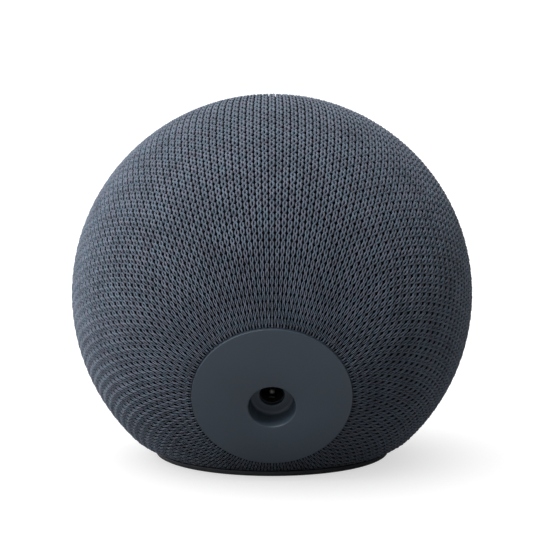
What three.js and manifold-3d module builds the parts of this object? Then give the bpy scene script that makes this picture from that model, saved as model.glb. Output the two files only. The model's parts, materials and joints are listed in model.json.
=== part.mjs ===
// A ball-shaped smart speaker: a knitted sleeve over a two-piece shell, a round rear cover with a recessed
// power socket, a round control panel with a light ring, and the loudspeakers and boards inside.
// Millimetres, +Z up, the front faces -Y. The origin is on the table, under the middle of the ball.
import * as THREE from "three";
import { mergeVertices } from "three/addons/utils/BufferGeometryUtils.js";
import Module from "manifold-3d";

const wasm = await Module();
wasm.setup();

// ---- driving dimensions -------------------------------------------------------------------------
const BALL_R = 54.35; // outside of the knitted sleeve
const BASE_Z = 0.5; // underside of the base plate's rim, over the table
const BALL_Z = BASE_Z + 43.65; // height of the ball's middle
const TILT = THREE.MathUtils.degToRad(23.4); // the panel looks up, and the rear cover down, by this angle
const GAP = 0.35; // clearance between neighbouring pieces
const SLEEVE_T = 1.0; // thickness of the knitted sleeve
const SHELL_R = 52.7; // outside of the moulded shells
const SHELL_T = 2.2; // thickness of the moulded shells
const SKIN_FLOOR = BASE_Z + 1.25; // lower edge of the sleeve and the shells
const FRONT_R = 27; // outside of the light ring
const REAR_R = 20.74; // rear cover
const RECESS_R = 6.15; // plug recess in the rear cover
const RECESS_DEPTH = 5.6;
const RECESS_DROP = 3.05; // the recess sits this far below the cover's middle
const BUTTON_R = 4.4; // the keys' caps
const BUTTON_TRAVEL = 0.6; // how far a key goes in
const WOOFER_Y = 2; // the woofer's axis is this far behind the ball's middle
const TWEETER_DIP = THREE.MathUtils.degToRad(35); // the tweeter looks down by this angle

const FRONT_PLANE = Math.sqrt(BALL_R ** 2 - FRONT_R ** 2);
const REAR_PLANE = Math.sqrt(BALL_R ** 2 - REAR_R ** 2);
const BIG = 140; // side of the blocks that trim a piece

// facets round a turned piece, by its size
const ROUND = { large: 32, medium: 24, small: 16, screw: 8, drive: 6 };

// ---- colours and finishes -----------------------------------------------------------------------
const finish = (color, roughness, metalness = 0) =>
  new THREE.MeshStandardMaterial({ color, roughness, metalness });
const FINISH = {
  knit: finish(0x4a505c, 0.95),
  graphite: finish(0x383c45, 0.55),
  black: finish(0x17181b, 0.6),
  shell: finish(0x24262b, 0.7),
  diffuser: finish(0xdfe4ea, 0.35),
  rubber: finish(0x1c1d1f, 0.95),
  steel: finish(0xa8acb0, 0.35, 0.9),
  nickel: finish(0xc8c4ba, 0.25, 0.95),
  ferrite: finish(0x3a3a3c, 0.8),
  aluminium: finish(0xb9bcc0, 0.45, 0.9),
  board: finish(0x1d4a34, 0.6),
  paper: finish(0x202125, 0.9),
  copper: finish(0xb66a3c, 0.4, 0.9),
  cloth: finish(0xb08a48, 0.9),
  foam: finish(0x2c2d30, 1.0),
  pad: finish(0x8d97a5, 0.9),
  film: finish(0x8a4f1e, 0.5),
};

// ---- shapes -------------------------------------------------------------------------------------
function toSolid(geometry) {
  const bare = geometry.index ? geometry.toNonIndexed() : geometry.clone();
  bare.deleteAttribute("normal");
  bare.deleteAttribute("uv");
  const merged = mergeVertices(bare, 1e-3);
  return new wasm.Manifold(
    new wasm.Mesh({
      numProp: 3,
      vertProperties: merged.attributes.position.array,
      triVerts: new Uint32Array(merged.index.array),
    }),
  );
}

function toGeometry(solid) {
  const mesh = solid.getMesh();
  const geometry = new THREE.BufferGeometry();
  geometry.setAttribute("position", new THREE.BufferAttribute(mesh.vertProperties, 3));
  geometry.setIndex(new THREE.BufferAttribute(mesh.triVerts, 1));
  geometry.computeVertexNormals();
  return geometry;
}

// A piece turned about Z from a closed outline of [radius, height] points, listed counter-clockwise.
function turned(outline, facets) {
  const points = [...outline, outline[0]].map(([r, h]) => new THREE.Vector2(r, h));
  const geometry = new THREE.LatheGeometry(points, facets);
  return toSolid(geometry.rotateX(Math.PI / 2));
}

// A plain turned disc or, with an inner radius, ring between two heights.
function ring(outer, low, high, facets, inner = 0) {
  return turned([[inner, low], [outer, low], [outer, high], [inner, high]], facets);
}

function block(width, depth, height, x = 0, y = 0, z = 0) {
  return toSolid(new THREE.BoxGeometry(width, depth, height).translate(x, y, z));
}

// The points of an arc about the origin, as [radius, height], from one polar angle to another.
function arc(radius, from, to, steps) {
  return Array.from({ length: steps + 1 }, (_, i) => {
    const angle = from + ((to - from) * i) / steps;
    return [radius * Math.sin(angle), radius * Math.cos(angle)];
  });
}

const shifted = (solid, x, y, z) => solid.translate([x, y, z]);
const joined = (...solids) => solids.reduce((a, b) => a.add(b));
const cut = (solid, ...tools) => tools.reduce((a, b) => a.subtract(b), solid);

// Places on a circle: count of them, the first at the given angle in degrees, as [x, y].
function around(radius, count, first = 0) {
  return Array.from({ length: count }, (_, i) => {
    const angle = THREE.MathUtils.degToRad(first + (360 * i) / count);
    return [radius * Math.cos(angle), radius * Math.sin(angle)];
  });
}

// ---- the scene's groups -------------------------------------------------------------------------
const speaker = new THREE.Group();
const ball = new THREE.Group(); // its origin is the ball's middle
ball.position.z = BALL_Z;
const front = new THREE.Group(); // +Z out through the control panel, +Y up along it
front.rotation.x = Math.PI / 2 - TILT;
const rear = new THREE.Group(); // +Z out through the rear cover, +Y down along it
rear.rotation.x = -Math.PI / 2 - TILT;
const woofer = new THREE.Group(); // +Z up through the cone
woofer.position.y = WOOFER_Y;
const tweeter = new THREE.Group(); // +Z out through the dome, +Y up along it
tweeter.rotation.x = Math.PI / 2 + TWEETER_DIP;
ball.add(front, rear, woofer, tweeter);
speaker.add(ball);

function piece(group, name, solid, material) {
  const mesh = new THREE.Mesh(toGeometry(solid), material);
  mesh.name = name;
  group.add(mesh);
  return mesh;
}

// A pan-head screw along Z: the head's top is at height top, and the shank reaches down to the given tip.
// With top below tip the screw points up.
function screw(x, y, top, tip, headRadius = 1.9, shankRadius = 1.0, headHeight = 1.5) {
  const way = Math.sign(tip - top);
  const neck = top + way * headHeight;
  const outline = [
    [0, tip],
    [shankRadius, tip],
    [shankRadius, neck],
    [headRadius, neck],
    [headRadius * 0.8, top],
    [0, top],
  ];
  const solid = turned(way < 0 ? outline : outline.reverse(), ROUND.screw);
  const socket = ring(headRadius * 0.45, top - 0.8, top + 0.8, ROUND.drive);
  return shifted(cut(solid, socket), x, y, 0);
}

// Everything below the given height over the table, in the frame of a group that is turned about X.
function belowTable(height, turn) {
  const slab = block(BIG, BIG, BIG, 0, 0, height - BALL_Z - BIG / 2);
  return slab.rotate([THREE.MathUtils.radToDeg(-turn), 0, 0]);
}

// ---- sleeve and shells --------------------------------------------------------------------------
const LEG = { radius: 3.2, foot: BASE_Z + 4.75 };
const LEGS = [[18, 18], [-18, 18], [-18, -18], [18, -18]];
const BASE = { rimTop: SKIN_FLOOR - GAP, rimRadius: 33, plugRadius: 27.6, floorTop: BASE_Z + 3 };
const FOOT = { inner: 20, outer: 27.4, height: BASE_Z + 0.5 };
const LEG_SCREW = { tip: BASE_Z + 12.8, holeTop: BASE_Z + 13.8, hole: 1.4, recess: 2.3 };

const frontOpening = (radius) => Math.asin((FRONT_R + GAP) / radius);
const rearOpening = (radius) => Math.PI - Math.asin((REAR_R + GAP) / radius);

function sleeve() {
  const inner = BALL_R - SLEEVE_T;
  const steps = 11;
  const outline = [
    ...arc(BALL_R, rearOpening(BALL_R), frontOpening(BALL_R), steps),
    ...arc(inner, frontOpening(inner), rearOpening(inner), steps),
  ];
  const solid = turned(outline, ROUND.large);
  piece(front, "fabric_cover", cut(solid, belowTable(SKIN_FLOOR, front.rotation.x)), FINISH.knit);
}

// The room the base plate and the enclosure's legs need inside the shells, in the front group's frame.
function baseWell() {
  const well = ring(BASE.plugRadius + GAP, -1, BASE_Z + 6.8, ROUND.large);
  const legs = LEGS.map(([x, y]) => shifted(ring(LEG.radius + GAP, -1, 30, ROUND.small), x, y, 0));
  const placed = shifted(joined(well, ...legs), 0, 0, -BALL_Z);
  return placed.rotate([THREE.MathUtils.radToDeg(-front.rotation.x), 0, 0]);
}

// Seven narrow sound slots through a shell, side by side across its top, between two polar angles.
function soundSlots(from, to) {
  const count = 7;
  const spacing = 0.2; // angle between neighbouring slots
  const middle = (from + to) / 2;
  const length = SHELL_R * (to - from);
  const box = new THREE.BoxGeometry(2, length, 8);
  return Array.from({ length: count }, (_, i) => {
    const side = (i - (count - 1) / 2) * spacing;
    const slot = box.clone().translate(0, 0, SHELL_R - 2);
    slot.rotateX(-middle).rotateZ(side);
    return toSolid(slot);
  });
}

// Sound slots in front of the tweeter, in the front group's frame.
function tweeterSlots() {
  const turn = THREE.MathUtils.radToDeg(tweeter.rotation.x - front.rotation.x);
  return [-6, -3, 0, 3, 6].map((x) =>
    block(1.6, 16 - Math.abs(x), 10, x, 0, SHELL_R - 3).rotate([turn, 0, 0]),
  );
}

// the front shell's ledge, which the control board and panel are screwed to
const LEDGE = { inner: 17.5, low: 37.0, high: 39.0, wall: 2.0 };
const PANEL_SCREWS = around(20.5, 3, 30);

function shells() {
  const inner = SHELL_R - SHELL_T;
  const steps = 5;
  const lap = 4; // the rear shell's tongue reaches this far into the front shell
  const seam = 0.18; // half the gap between the two shells
  const edge = (radius, height) => Math.acos(height / radius);
  const hole = FRONT_R + GAP;
  const frontOutline = [
    ...arc(SHELL_R, edge(SHELL_R, seam), frontOpening(SHELL_R), steps),
    [hole, LEDGE.high],
    [LEDGE.inner, LEDGE.high],
    [LEDGE.inner, LEDGE.low],
    [hole + LEDGE.wall, LEDGE.low],
    [hole + LEDGE.wall, 40.6], // where the ledge's wall meets the dome
    ...arc(inner, Math.asin(0.6), edge(inner, seam), steps),
  ];
  const frontShell = cut(
    turned(frontOutline, ROUND.large),
    ...PANEL_SCREWS.map(([x, y]) => shifted(ring(PANEL_SCREW_HOLE, 30, 45, ROUND.screw), x, y, 0)),
    ...soundSlots(0.95, 1.4),
    ...tweeterSlots(),
    baseWell(),
    belowTable(SKIN_FLOOR, front.rotation.x),
  );
  piece(front, "front_shell", frontShell, FINISH.shell);

  const tongue = inner - 0.85; // outside of the tongue
  const tongueIn = tongue - 1.6;
  const root = inner + 0.3; // the tongue's root is sunk this far into the shell
  const rearOutline = [
    ...arc(SHELL_R, rearOpening(SHELL_R), edge(SHELL_R, -seam), steps),
    ...arc(inner, edge(inner, -seam), rearOpening(inner), steps),
  ];
  const tongueOutline = [
    [tongueIn, -lap],
    [root, -lap],
    [root, -seam],
    [tongue, -seam],
    [tongue, lap],
    [tongueIn, lap],
  ];
  const lapRing = cut(turned(tongueOutline, ROUND.large), belowTable(BASE_Z + 14.8, front.rotation.x));
  const rearShell = cut(
    joined(turned(rearOutline, ROUND.large), lapRing),
    ...soundSlots(1.8, 2.2),
    baseWell(),
    belowTable(SKIN_FLOOR, front.rotation.x),
  );
  piece(front, "rear_shell", rearShell, FINISH.shell);
}

// ---- base ---------------------------------------------------------------------------------------
function base() {
  const groove = FOOT.outer + GAP;
  const grooveRoof = FOOT.height + GAP;
  const flare = 1.9; // how far the rim's underside is in from its edge
  const plate = turned(
    [
      [0, grooveRoof], [groove, grooveRoof], [groove, BASE_Z], [BASE.rimRadius - flare, BASE_Z],
      [BASE.rimRadius - flare + 0.6, BASE_Z + 0.25], [BASE.rimRadius, BASE.rimTop],
      [BASE.plugRadius, BASE.rimTop], [BASE.plugRadius, BASE.floorTop], [0, BASE.floorTop],
    ],
    ROUND.large,
  );
  const bosses = LEGS.map(([x, y]) =>
    shifted(ring(LEG.radius, BASE.floorTop - 1, LEG.foot - GAP, ROUND.small), x, y, 0),
  );
  const holes = LEGS.flatMap(([x, y]) => [
    shifted(ring(LEG_SCREW.hole, 0, LEG.foot + 2, ROUND.screw), x, y, 0),
    shifted(ring(LEG_SCREW.recess, 0, BASE.floorTop - 0.3, ROUND.screw), x, y, 0),
  ]);
  piece(speaker, "base_plate", cut(joined(plate, ...bosses), ...holes), FINISH.black);
  piece(speaker, "foot_ring", ring(FOOT.outer, 0, FOOT.height, ROUND.large, FOOT.inner), FINISH.rubber);
  LEGS.forEach(([x, y], i) =>
    piece(speaker, `base_screw_${i + 1}`, screw(x, y, grooveRoof, LEG_SCREW.tip, 1.9, 1.0, 1.4), FINISH.steel),
  );
}

// ---- rear cover and power socket ----------------------------------------------------------------
const REAR_COVER = { thickness: 2, wall: 1.6, floorWall: 1, chamfer: 0.3, mouth: 0.7, socketHole: 3.25 };

function rearCover() {
  const top = REAR_PLANE;
  const floor = top - RECESS_DEPTH;
  const { thickness, wall, chamfer, mouth } = REAR_COVER;
  const disc = turned(
    [[0, top - thickness], [REAR_R, top - thickness], [REAR_R, top - chamfer],
      [REAR_R - chamfer, top], [0, top]],
    ROUND.large,
  );
  const skirt = REAR_R - 1.2;
  const lip = ring(skirt, top - 5, top - thickness + 0.5, ROUND.large, skirt - wall);
  const cup = ring(RECESS_R + wall, floor - REAR_COVER.floorWall, top - 1, ROUND.medium);
  const recess = turned(
    [[0, floor], [RECESS_R - 0.25, floor], [RECESS_R, top - mouth],
      [RECESS_R + mouth, top + 0.1], [0, top + 0.1]],
    ROUND.medium,
  );
  const socketHole = ring(REAR_COVER.socketHole, floor - 3, floor + 1, ROUND.small);
  const low = (solid) => shifted(solid, 0, RECESS_DROP, 0);
  piece(rear, "rear_cover", cut(joined(disc, lip, low(cup)), low(recess), low(socketHole)), FINISH.graphite);
}

// the socket's face sits just behind the recess's floor
const SOCKET = {
  face: REAR_PLANE - RECESS_DEPTH - REAR_COVER.floorWall - GAP,
  length: 9.4,
  bore: 3.15,
  radius: 4.2,
  floor: 1.4,
  pin: 0.95,
};

function powerSocket() {
  const back = SOCKET.face - SOCKET.length;
  const y = RECESS_DROP;
  const bottom = back + SOCKET.floor;
  const body = joined(
    block(9, 9, SOCKET.length - 1.5, 0, y, back + (SOCKET.length - 1.5) / 2),
    shifted(ring(SOCKET.radius, back + 1, SOCKET.face, ROUND.small), 0, y, 0),
  );
  const bore = shifted(ring(SOCKET.bore, bottom, SOCKET.face + 1, ROUND.small), 0, y, 0);
  piece(rear, "socket_housing", cut(body, bore), FINISH.black);

  const pin = turned(
    [[0, bottom + GAP], [SOCKET.pin, bottom + GAP], [SOCKET.pin, SOCKET.face - 0.2],
      [SOCKET.pin - 0.4, SOCKET.face + 0.3], [0, SOCKET.face + 0.3]],
    ROUND.screw,
  );
  piece(rear, "socket_pin", shifted(pin, 0, y, 0), FINISH.nickel);
  piece(rear, "socket_contact", block(1.5, 0.3, 6, 0, y + 2.45, SOCKET.face - 4.2), FINISH.nickel);
  const board = joined(
    block(15, 13, 1.2, 0, y, back - GAP - 0.6),
    block(6, 4, 2.4, 0, y - 3.5, back - GAP - 2.2),
  );
  piece(rear, "socket_board", board, FINISH.board);
}

// ---- control panel ------------------------------------------------------------------------------
const PANEL = { radius: FRONT_R - 2.7, top: 47.0, under: 45.0, rimWall: 2.0, rimFoot: 41.35 };
const BOARD = { low: 39.4, high: 41.0, radius: 26.8 };
const BUTTON_STEP = 13; // between neighbouring keys
const BUTTONS = ["volume_down", "mute", "volume_up"].map((name, i) => [name, (i - 1) * BUTTON_STEP]);
const MICS = [["left", -8], ["right", 8]].map(([side, x]) => [side, x, 13.5]);
const PANEL_SCREW_HOLE = 1.4;

function controlPanel() {
  const disc = turned(
    [[0, PANEL.under], [PANEL.radius, PANEL.under], [PANEL.radius, PANEL.top - 0.3],
      [PANEL.radius - 0.3, PANEL.top], [0, PANEL.top]],
    ROUND.large,
  );
  const rim = ring(PANEL.radius, PANEL.rimFoot, PANEL.under + 0.5, ROUND.large, PANEL.radius - PANEL.rimWall);
  const bosses = PANEL_SCREWS.map(([x, y]) =>
    shifted(ring(2.6, PANEL.rimFoot, PANEL.under + 0.5, ROUND.small), x, y, 0),
  );
  const screwHoles = PANEL_SCREWS.map(([x, y]) =>
    shifted(ring(PANEL_SCREW_HOLE, 40, PANEL.under - 0.1, ROUND.screw), x, y, 0),
  );
  const buttonHoles = BUTTONS.map(([, x]) => shifted(ring(BUTTON_R + GAP, 44, 48, ROUND.small), x, 0, 0));
  const micHoles = MICS.map(([, x, y]) => shifted(ring(0.7, 44, 48, ROUND.screw), x, y, 0));
  const panel = cut(joined(disc, rim, ...bosses), ...screwHoles, ...buttonHoles, ...micHoles);
  piece(front, "control_panel", panel, FINISH.graphite);

  const guideIn = PANEL.radius + GAP;
  const guideFoot = 42.0;
  const round = 0.45; // how far the guide's top edges are rounded off
  const guide = turned(
    [[guideIn, guideFoot], [FRONT_R - 0.4, guideFoot], [FRONT_R, guideFoot + 1.2],
      [FRONT_R, FRONT_PLANE - round], [FRONT_R - round, FRONT_PLANE],
      [guideIn + round, FRONT_PLANE], [guideIn, FRONT_PLANE - round]],
    ROUND.large,
  );
  piece(front, "light_ring", guide, FINISH.diffuser);

  const plungerTop = BOARD.high + 1.55;
  const stem = plungerTop + BUTTON_TRAVEL + 0.25; // the key's stem stops short of the switch at full travel
  const flange = stem + 0.6;
  const cap = turned(
    [[0, stem], [1.6, stem], [1.6, flange], [BUTTON_R + 0.9, flange], [BUTTON_R + 0.9, PANEL.under - GAP],
      [BUTTON_R, PANEL.under - GAP], [BUTTON_R, PANEL.top - 0.1], [BUTTON_R - 0.4, PANEL.top + 0.2],
      [0, PANEL.top + 0.05]],
    ROUND.small,
  );
  BUTTONS.forEach(([name, x]) => {
    piece(front, `${name}_button`, shifted(cap, x, 0, 0), FINISH.graphite);
    const can = block(4, 4, 0.95, x, 0, BOARD.high + GAP + 0.475);
    const plunger = shifted(ring(1, BOARD.high + 1, plungerTop, ROUND.screw), x, 0, 0);
    piece(front, `${name}_switch`, joined(can, plunger), FINISH.steel);
  });
  MICS.forEach(([side, x, y]) =>
    piece(front, `mic_gasket_${side}`, shifted(ring(2.1, 42.4, 44.65, ROUND.screw, 0.9), x, y, 0), FINISH.foam),
  );
}

function controlBoard() {
  const disc = ring(BOARD.radius, BOARD.low, BOARD.high, ROUND.medium);
  const lights = around(25.7, 12, 15).map(([x, y]) => block(1.3, 1.3, 1, x, y, BOARD.high + 0.1));
  const mics = MICS.map(([, x, y]) => block(3, 3.8, 1.4, x, y, BOARD.high + 0.35));
  const connector = block(10, 3, 2, 0, -9, BOARD.low - 0.8);
  const holes = PANEL_SCREWS.map(([x, y]) => shifted(ring(PANEL_SCREW_HOLE, 38, 43, ROUND.screw), x, y, 0));
  piece(front, "control_board", cut(joined(disc, connector, ...lights, ...mics), ...holes), FINISH.board);
  PANEL_SCREWS.forEach(([x, y], i) =>
    piece(front, `panel_screw_${i + 1}`, screw(x, y, LEDGE.low - GAP - 1.5, 44.5), FINISH.steel),
  );
}

// ---- woofer -------------------------------------------------------------------------------------
const CUP_FLOOR = -14;

function enclosure() {
  const outer = turned(
    [[0, CUP_FLOOR - 2], [21.8, CUP_FLOOR - 2], [34.2, 8], [34.2, 19], [0, 19]],
    ROUND.medium,
  );
  const hollow = turned(
    [[0, CUP_FLOOR], [20.2, CUP_FLOOR], [32.2, 8.5], [32.2, 16.6], [29.2, 17.4], [29.2, 20], [0, 20]],
    ROUND.medium,
  );
  const legFoot = LEG.foot - BALL_Z;
  const legs = LEGS.map(([x, y]) =>
    shifted(ring(LEG.radius, legFoot, y > 0 ? -8 : 0, ROUND.screw), x, y - WOOFER_Y, 0),
  );
  const posts = BOARD_SCREWS.map(([x, y]) =>
    shifted(ring(2.8, MAIN_BOARD.top + GAP, CUP_FLOOR - 1, ROUND.screw), x, y - WOOFER_Y, 0),
  );
  const legHoles = LEGS.map(([x, y]) =>
    shifted(ring(LEG_SCREW.hole, legFoot - 1, LEG_SCREW.holeTop - BALL_Z, ROUND.screw), x, y - WOOFER_Y, 0),
  );
  const postHoles = BOARD_SCREWS.map(([x, y]) =>
    shifted(ring(1.4, MAIN_BOARD.top - 1, CUP_FLOOR - 2.6, ROUND.screw), x, y - WOOFER_Y, 0),
  );
  const wooferHoles = WOOFER_SCREWS.map(([x, y]) => shifted(ring(1.4, 12.5, 20, ROUND.screw), x, y, 0));
  const wooferBosses = WOOFER_SCREWS.map(([x, y]) => shifted(ring(2.7, 11.5, 17.5, ROUND.screw), x, y, 0));
  const cup = cut(joined(outer, ...legs, ...posts), hollow);
  const solid = cut(joined(cup, ...wooferBosses), ...legHoles, ...postHoles, ...wooferHoles);
  piece(woofer, "speaker_enclosure", solid, FINISH.black);
}

const WOOFER_SCREWS = around(31.1, 4, 45);

const FLANGE = { radius: 33.6, low: 19.4, high: 21.2 }; // the basket's flange
const MOTOR = { radius: 17.5, under: -12.6, top: 1.65, bore: 8.1, pole: 6.2, plate: 4.05, yoke: 3.35 };
const COIL = { outer: 7.3, inner: 6.85, low: -4, high: 10.8 };

function wooferFrame() {
  const seat = MOTOR.top + GAP; // the basket's foot sits on the magnet's top plate
  const basket = turned(
    [[11, seat], [19.0, seat], [19.5, seat + 2], [28.4, FLANGE.low], [FLANGE.radius, FLANGE.low],
      [FLANGE.radius, FLANGE.high], [26.8, FLANGE.high], [17.6, seat + 1.6], [11, seat + 1.6]],
    ROUND.medium,
  );
  const window = block(70, 9, 8, 0, 0, 12.5);
  const windows = [0, 60, 120].map((turn) => window.rotate([0, 0, turn]));
  const holes = WOOFER_SCREWS.map(([x, y]) => shifted(ring(1.3, 18, 23, ROUND.screw), x, y, 0));
  piece(woofer, "woofer_basket", cut(basket, ...windows, ...holes), FINISH.steel);
  const plateUnder = MOTOR.top - MOTOR.plate;
  const yokeTop = MOTOR.under + MOTOR.yoke;
  const topPlate = ring(MOTOR.radius, plateUnder, MOTOR.top, ROUND.medium, MOTOR.bore);
  piece(woofer, "woofer_top_plate", topPlate, FINISH.steel);
  const magnet = ring(MOTOR.radius + 1, yokeTop + GAP, plateUnder - GAP, ROUND.medium, 11);
  piece(woofer, "woofer_magnet", magnet, FINISH.ferrite);
  const yoke = turned(
    [[0, MOTOR.under], [MOTOR.radius, MOTOR.under], [MOTOR.radius, yokeTop], [MOTOR.pole, yokeTop],
      [MOTOR.pole, MOTOR.top], [0, MOTOR.top]],
    ROUND.medium,
  );
  piece(woofer, "woofer_yoke", yoke, FINISH.steel);
  const gasket = ring(FLANGE.radius, FLANGE.high + GAP, FLANGE.high + 1.1, ROUND.medium, 28.7);
  const gasketHoles = WOOFER_SCREWS.map(([x, y]) => shifted(ring(2.15, 20, 24, ROUND.screw), x, y, 0));
  piece(woofer, "woofer_gasket", cut(gasket, ...gasketHoles), FINISH.foam);
  WOOFER_SCREWS.forEach(([x, y], i) =>
    piece(woofer, `woofer_screw_${i + 1}`, screw(x, y, 23.0, 13.2, 1.8, 0.95, 1.45), FINISH.steel),
  );
}

function wooferDiaphragm() {
  const neck = COIL.outer + GAP;
  const cone = turned(
    [[neck, 9.0], [8.3, 9.0], [8.8, 9.6], [16, 14.4], [22.9, 20.5], [22.9, 21.15], [22.2, 21.15],
      [15.6, 15.1], [8.3, 10.3], [neck, 10.0]],
    ROUND.medium,
  );
  piece(woofer, "woofer_cone", cone, FINISH.paper);
  const lifted = (outline, height) => outline.map(([r, h]) => [r, h + height]);
  const capTop = 14; // radius of the dust cap's dome
  const capUnder = capTop - 0.5;
  const cap = [
    ...arc(capUnder, 0, Math.asin(8.2 / capUnder), 4),
    ...arc(capTop, Math.asin(8.6 / capTop), 0, 4),
  ];
  piece(woofer, "woofer_dust_cap", turned(lifted(cap, 1.0), ROUND.small), FINISH.paper);
  const coil = ring(COIL.outer, COIL.low, COIL.high, ROUND.medium, COIL.inner);
  piece(woofer, "woofer_voice_coil", coil, FINISH.copper);

  const roll = { middle: 25, height: 21.9, outer: 2.0, inner: 1.5 }; // the surround's half roll
  const half = (radius) =>
    arc(radius, Math.PI / 2, -Math.PI / 2, 4).map(([r, h]) => [roll.middle + r, roll.height + h]);
  const surround = [
    [28.3, 21.5], [28.3, 22.0], ...half(roll.outer), [21.6, 22.0], [21.6, 21.5], ...half(roll.inner).reverse(),
  ];
  piece(woofer, "woofer_surround", turned(surround, ROUND.medium), FINISH.rubber);

  const ridges = 3;
  const spiderIn = neck;
  const spiderOut = 18.1;
  const wave = (side) =>
    Array.from({ length: ridges * 2 + 1 }, (_, i) => {
      const share = i / (ridges * 2);
      return [spiderIn + (spiderOut - spiderIn) * share, 6.2 + side + (i % 2 ? 0.45 : -0.45)];
    });
  piece(woofer, "woofer_spider", turned([...wave(0), ...wave(0.4).reverse()], ROUND.medium), FINISH.cloth);
}

// ---- tweeter ------------------------------------------------------------------------------------
function tweeterUnit() {
  const frame = turned(
    [[0, 37.2], [10.4, 37.2], [10.4, 44.4], [12.5, 44.4], [12.5, 45.6], [10.9, 45.6], [9.2, 44.9],
      [9.2, 38.5], [0, 38.5]],
    ROUND.small,
  );
  piece(tweeter, "tweeter_frame", frame, FINISH.black);
  piece(tweeter, "tweeter_magnet", ring(8.7, 38.85, 42.6, ROUND.small), FINISH.ferrite);
  const lift = 33.9;
  const under = 12.2; // radius of the dome's inner face
  const top = under + 0.5;
  const dome = [...arc(under, 0, Math.asin(8.1 / under), 4), ...arc(top, Math.asin(8.5 / top), 0, 4)];
  piece(tweeter, "tweeter_dome", turned(dome.map(([r, h]) => [r, h + lift]), ROUND.small), FINISH.paper);
}

// ---- main board ---------------------------------------------------------------------------------
const MAIN_BOARD = { top: -22, under: -23.6, radius: 21.7 };
const BOARD_SCREWS = around(18.6, 3, 90);

function mainBoard() {
  const holes = (low, high) =>
    BOARD_SCREWS.map(([x, y]) => shifted(ring(1.4, low, high, ROUND.screw), x, y, 0));
  const disc = ring(MAIN_BOARD.radius, MAIN_BOARD.under, MAIN_BOARD.top, ROUND.medium);
  const parts = [
    block(10, 3, 2, 0, -18.5, MAIN_BOARD.top + 0.8), // ribbon connector
    block(7, 4, 3, 9, 12, MAIN_BOARD.top + 1.2), // power connector
    block(6, 6, 3.2, -9, 10, MAIN_BOARD.top + 1.4), // amplifier choke
    block(6, 6, 3.2, -1, 10, MAIN_BOARD.top + 1.4),
    block(12, 9, 1.6, 6, -6, MAIN_BOARD.top + 0.6), // memory
    block(9, 9, 1.2, -8, -5, MAIN_BOARD.top + 0.4), // radio module
  ];
  piece(ball, "main_board", cut(joined(disc, ...parts), ...holes(-30, -15)), FINISH.board);
  piece(ball, "board_shield", block(20, 16, 1.3, 0, 0, MAIN_BOARD.under - GAP - 0.65), FINISH.nickel);
  piece(ball, "thermal_pad", block(14, 14, 0.7, 0, 0, -25.95), FINISH.pad);

  const plate = ring(21.7, -28.7, -26.65, ROUND.medium);
  const bosses = BOARD_SCREWS.map(([x, y]) => shifted(ring(2.6, -27, -23.95, ROUND.screw), x, y, 0));
  const fins = Array.from({ length: 7 }, (_, i) => block(1.2, 26, 8.5, (i - 3) * 3.9, 0, -32.6));
  piece(ball, "heat_sink", cut(joined(plate, ...bosses, ...fins), ...holes(-32, -20)), FINISH.aluminium);
  BOARD_SCREWS.forEach(([x, y], i) =>
    piece(ball, `board_screw_${i + 1}`, screw(x, y, -30.6, -17.2), FINISH.steel),
  );
  [["left", -1], ["right", 1]].forEach(([side, way]) =>
    piece(ball, `wifi_antenna_${side}`, block(0.9, 16, 7, way * 35.1, WOOFER_Y, 13), FINISH.film),
  );
}

// ---- wiring -------------------------------------------------------------------------------------
// A lead or ribbon: a flat outline swept along points that are relative to the ball's middle.
function swept(outline, points, steps) {
  const path = new THREE.CatmullRomCurve3(points.map((p) => new THREE.Vector3(...p)));
  const shape = new THREE.Shape(outline.map(([x, y]) => new THREE.Vector2(x, y)));
  const options = { steps, extrudePath: path, bevelEnabled: false };
  return toSolid(new THREE.ExtrudeGeometry(shape, options));
}

function wiring() {
  const ribbon = [[-4, -0.15], [4, -0.15], [4, 0.15], [-4, 0.15]];
  const down = [
    [0, -38.2, 4.6], [0, -34.5, 1.5], [0, -31, -3], [0, -27.4, -9], [0, -23.3, -15], [0, -20.2, -19.6],
  ];
  piece(ball, "ribbon_cable", swept(ribbon, down, 16), FINISH.film);
  const lead = around(1.1, 8);
  const power = [[2, 27.3, -14.6], [4, 25.3, -17.2], [8, 20, -19.2], [9, 14.9, -20.4]];
  piece(ball, "power_lead", swept(lead, power, 12), FINISH.black);
}

sleeve();
shells();
base();
rearCover();
powerSocket();
controlPanel();
controlBoard();
enclosure();
wooferFrame();
wooferDiaphragm();
tweeterUnit();
mainBoard();
wiring();

export default speaker;
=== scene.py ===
"""Looks of a ball-shaped smart speaker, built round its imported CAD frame.

Lengths are in millimetres inside the classes and in metres in the finished meshes. +Z is up and the
front faces -Y.
"""

import json
import logging
import math
from dataclasses import dataclass
from enum import Enum
from typing import Iterable, Sequence

import bmesh
import bpy
from mathutils import Matrix, Vector, noise

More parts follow.
